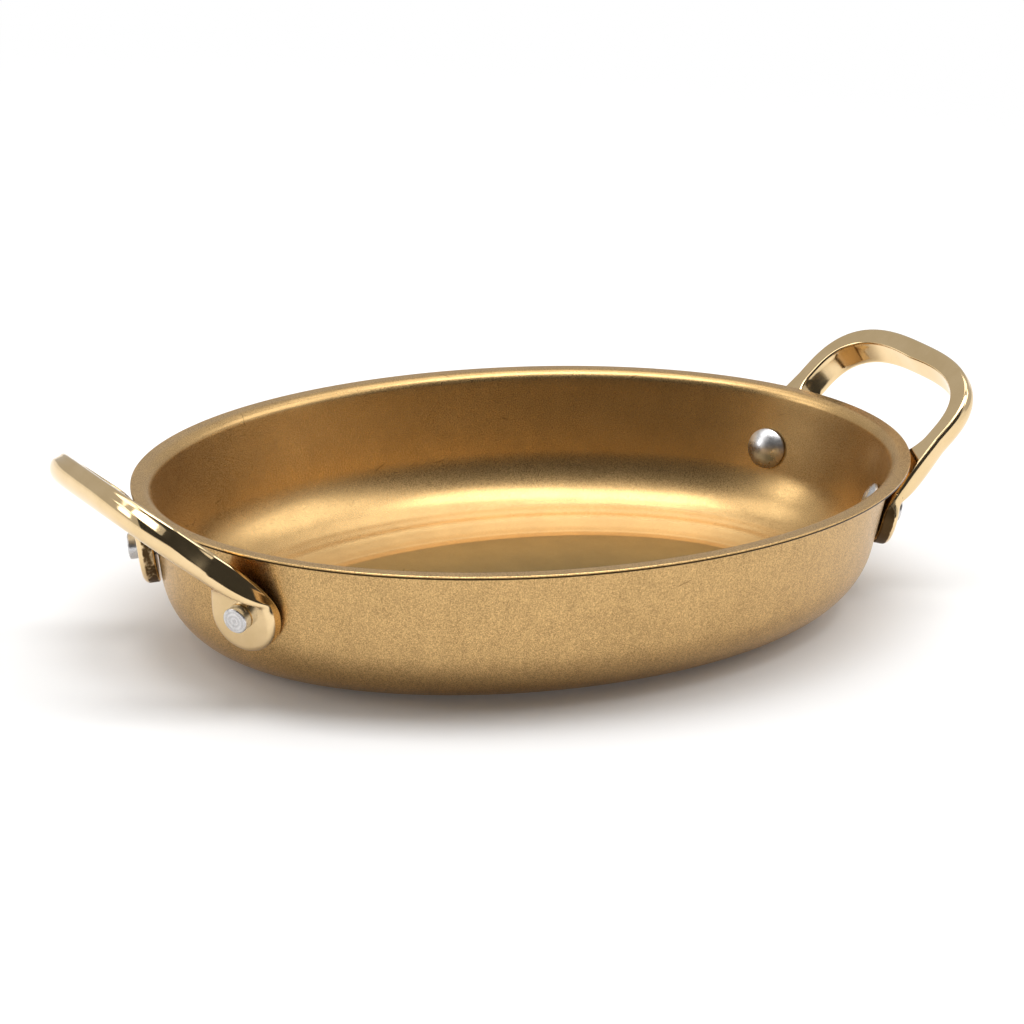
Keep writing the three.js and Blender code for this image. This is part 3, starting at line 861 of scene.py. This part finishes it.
def rivet_surface(tail_length):
    """Profile turned about the seat's outward direction, its faces, and the radius on the tail's face."""
    radius, out = rivet_profile(tail_length)
    turn = np.linspace(0, 2 * np.pi, AROUND_RIVET, endpoint=False)
    spoke = np.multiply.outer(np.cos(turn), seat_along) + np.multiply.outer(np.sin(turn), seat_up)
    rings = seat_place + out[:, None, None] * seat_outward + radius[:, None, None] * spoke
    faced = np.where(out >= out.max() - WELD_DISTANCE, radius, 0)
    return rings, grid_quads(len(radius), AROUND_RIVET, True), np.repeat(faced, AROUND_RIVET)


STEEL_DARK = (0.56, 0.55, 0.55, 1)
STEEL_LIGHT = (0.78, 0.77, 0.77, 1)
STEEL_GRAIN_SCALE = 4200.0
STEEL_CLOUD_SCALE = 400.0
STEEL_GRAIN_SHARE = 0.4
TOOL_RING_DEPTH = 0.35
STEEL_ROUGHNESS = 0.26, 0.36
STEEL_GRAIN_HEIGHT = 0.5
STEEL_BUMP = 0.5
STEEL_BUMP_DEPTH = 0.01 * MM


def rivet_steel():
    """Bright steel between two greys, with rings on the tail's face: a sine of the distance from the axis."""
    steel, tree, shader, place = new_metal("rivet_steel")
    scales = {"Grain_Scale": STEEL_GRAIN_SCALE, "Cloud_Scale": STEEL_CLOUD_SCALE}
    skin = node(tree, "Group", {"node_tree": tumbled}, Vector=place, **scales)
    tool_rings = math(tree, "SINE", times(tree, mark_value(tree, "faced"), 2 * np.pi / TOOL_RING))
    tone = weighed(tree, skin.outputs["Grain"], skin.outputs["Clouds"], STEEL_GRAIN_SHARE)
    tone = minus(tree, tone, times(tree, tool_rings, TOOL_RING_DEPTH), clamp=True)
    colour = blend(tree, tone, STEEL_DARK, STEEL_LIGHT)
    roughness = spread(tree, skin.outputs["Clouds"], 0.0, 1.0, *STEEL_ROUGHNESS)
    height = plus(tree, times(tree, skin.outputs["Height"], STEEL_GRAIN_HEIGHT), tool_rings)
    finish_metal(tree, shader, colour, roughness, STEEL_BUMP, STEEL_BUMP_DEPTH, height)
    return steel


steel = rivet_steel()
for side, turned in (("right", 1), ("left", -1)):
    rivet_rings, rivet_quads, faced_marks = rivet_surface(TAIL_LENGTHS[side])
    for end, across in (("back", 1), ("front", -1)):
        rivet_points = rivet_rings * [turned, across, 1]
        rivet_name = f"rivet_{side}_{end}_steel"
        rivet = add_piece(rivet_name, rivet_points, [rivet_quads], RIVET_SHARP_ANGLE, faced=faced_marks)
        rivet.data.materials.append(steel)
        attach(rivet, "root")
        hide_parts(f"rivet_{side}_{end}")

# Studio: a wide pale floor in a grey room, under a soft box, with a weaker box behind the pan, a box and a
# panel at the left, a panel at the right and a dark cloth hood behind the camera. The floor glows white away
# from the pan, to the camera and in reflections, and keeps the pan's soft shadow.

AZIMUTH = np.radians(-31.9)
FLOOR_SIZE = 12.0
FLOOR_GAP = 0.2 * MM
FLOOR_COLOUR = (0.9, 0.9, 0.9, 1)
WHITE = (1, 1, 1, 1)
NEAR_GLOW = 0.05
GLOW_MIDDLE = (-0.1, 0.0, 0)
GLOW_FROM = 0.14
GLOW_TO = 0.6
ROOM_COLOUR = (0.55, 0.55, 0.55, 1)
HOOD_RADIUS = 1.5
HOOD_LEFT = 184
HOOD_RIGHT_FOOT = 318
HOOD_RIGHT_TOP = 305
HOOD_TOP = 57
HOOD_ROWS = 24
HOOD_COLUMNS = 40
HOOD_DARK = (0.05, 0.05, 0.05, 1)
HOOD_LIGHT = (0.07, 0.07, 0.07, 1)
NAP_SCALE = 60.0
# Name, azimuth and elevation in degrees, distance, width and height in metres, and brightness of each lamp.
LAMPS = (
    ("left_panel", 161, 24, 1.2, 0.36, 0.56, 2.9),
    ("right_panel", 340, 36, 1.2, 0.6, 0.55, 2.3),
    ("soft_box", 302, 79, 1.02, 0.98, 0.42, 5.2),
    ("back_box", 37, 64, 1.11, 0.95, 0.34, 1.7),
    ("left_box", 147, 51, 1.28, 0.68, 0.56, 2.0),
)


def floor_paper():
    """Matt pale paper with a faint glow, which turns into a white glow with the distance from the pan.

    Both glows show to the camera, in reflections and through glass only, so they light nothing else.
    """
    paper = bpy.data.materials.new("floor_paper")
    paper.use_nodes = True
    tree = paper.node_tree
    tree.nodes.clear()
    rays = node(tree, "LightPath")
    seen = larger(tree, rays.outputs["Is Camera Ray"], rays.outputs["Is Glossy Ray"])
    seen = larger(tree, seen, rays.outputs["Is Transmission Ray"])
    place = node(tree, "TexCoord").outputs["Object"]
    from_middle = node(tree, "VectorMath", {"operation": "SUBTRACT"}, i0=place, i1=GLOW_MIDDLE).outputs[0]
    distance = node(tree, "VectorMath", {"operation": "LENGTH"}, i0=from_middle).outputs["Value"]
    far = times(tree, seen, spread(tree, distance, GLOW_FROM, GLOW_TO))
    matt = node(tree, "BsdfDiffuse", Color=FLOOR_COLOUR)
    faint = node(tree, "Emission", Color=WHITE, Strength=times(tree, seen, NEAR_GLOW))
    near = node(tree, "AddShader", i0=matt.outputs[0], i1=faint.outputs[0])
    glow = node(tree, "Emission", Color=WHITE, Strength=1.0)
    mixed = node(tree, "MixShader", i0=far, i1=near.outputs[0], i2=glow.outputs[0])
    node(tree, "OutputMaterial", Surface=mixed.outputs[0])
    return paper


floor_corners = np.array([[-1, -1, 0], [1, -1, 0], [1, 1, 0], [-1, 1, 0]])
floor_points = FLOOR_SIZE / 2 * floor_corners - FLOOR_GAP * Z_AXIS
floor = add_piece("floor", floor_points, [np.array([[0, 1, 2, 3]])])
floor.data.materials.append(floor_paper())


def direction(turn, rise):
    """Direction at an azimuth and an elevation, in radians, as the last axis of an array."""
    across = np.cos(rise) * np.cos(turn), np.cos(rise) * np.sin(turn)
    return np.stack(np.broadcast_arrays(*across, np.sin(rise)), axis=-1)


def hood_surface():
    """Part of a sphere between two azimuths, up to an elevation. Its right edge slants with the height."""
    share = np.linspace(0, 1, HOOD_ROWS)[:, None]
    right = HOOD_RIGHT_FOOT + (HOOD_RIGHT_TOP - HOOD_RIGHT_FOOT) * share
    turn = HOOD_LEFT + (right - HOOD_LEFT) * np.linspace(0, 1, HOOD_COLUMNS)
    return HOOD_RADIUS * direction(np.radians(turn), np.radians(HOOD_TOP * share))


def dark_cloth():
    """Matt cloth whose nap goes between two dark greys."""
    cloth = bpy.data.materials.new("dark_cloth")
    cloth.use_nodes = True
    tree = cloth.node_tree
    shader = tree.nodes["Principled BSDF"]
    nap = noise(tree, node(tree, "TexCoord").outputs["Object"], NAP_SCALE, detail=3.0)
    tree.links.new(blend(tree, nap, HOOD_DARK, HOOD_LIGHT), shader.inputs["Base Color"])
    shader.inputs["Roughness"].default_value = 1.0
    return cloth


hood = add_piece("hood", hood_surface(), [grid_quads(HOOD_ROWS, HOOD_COLUMNS, False)])
hood.visible_camera = False
hood.data.materials.append(dark_cloth())

world = bpy.data.worlds.new("room")
world.use_nodes = True
world.node_tree.nodes["Background"].inputs["Color"].default_value = ROOM_COLOUR
bpy.context.scene.world = world


def stand(thing, x_axis, z_axis, place):
    """Puts a lamp or a camera at a place, with its own x and z axes turned to two directions."""
    turned = np.column_stack([x_axis, np.cross(z_axis, x_axis), z_axis, place])
    thing.matrix_world = Matrix([[*row] for row in turned] + [[0, 0, 0, 1]])
    bpy.context.scene.collection.objects.link(thing)


across_picture = np.array([np.cos(AZIMUTH), np.sin(AZIMUTH), 0])
for name, turn, rise, reach, wide, high, brightness in LAMPS:
    lamp = bpy.data.lights.new(name, "AREA")
    lamp.shape = "RECTANGLE"
    lamp.size = wide
    lamp.size_y = high
    lamp.energy = np.pi * wide * high * brightness
    toward = direction(np.radians(turn), np.radians(rise))
    lies_level = name.endswith("box")
    lamp_x = across_picture if lies_level else unit(np.cross(Z_AXIS, toward))
    stand(bpy.data.objects.new(name, lamp), lamp_x, Z_AXIS if lies_level else toward, reach * toward)

# Camera: where the photograph was taken from. A long lens looks down on the pan from its front left corner
# and is rolled a little.

ELEVATION = np.radians(18.69)
ROLL = np.radians(2.68)
DISTANCE = 909 * MM
IMAGE_SIZE = 1024
FOCAL_PIXELS = 4200
OPTICAL_AXIS = (528.9, 463.4)
SENSOR = 36.0

lens = bpy.data.cameras.new("camera")
lens.sensor_width = SENSOR
lens.lens = FOCAL_PIXELS / IMAGE_SIZE * SENSOR
lens.shift_x = (IMAGE_SIZE / 2 - OPTICAL_AXIS[0]) / IMAGE_SIZE
lens.shift_y = (OPTICAL_AXIS[1] - IMAGE_SIZE / 2) / IMAGE_SIZE
camera = bpy.data.objects.new("camera", lens)
to_camera = direction(AZIMUTH - np.pi / 2, ELEVATION)
picture_up = np.cross(to_camera, across_picture)
camera_x = np.cos(ROLL) * across_picture + np.sin(ROLL) * picture_up
stand(camera, camera_x, to_camera, pan_depth * Z_AXIS + DISTANCE * to_camera)
bpy.context.scene.camera = camera
bpy.context.scene.view_settings.view_transform = "Standard"
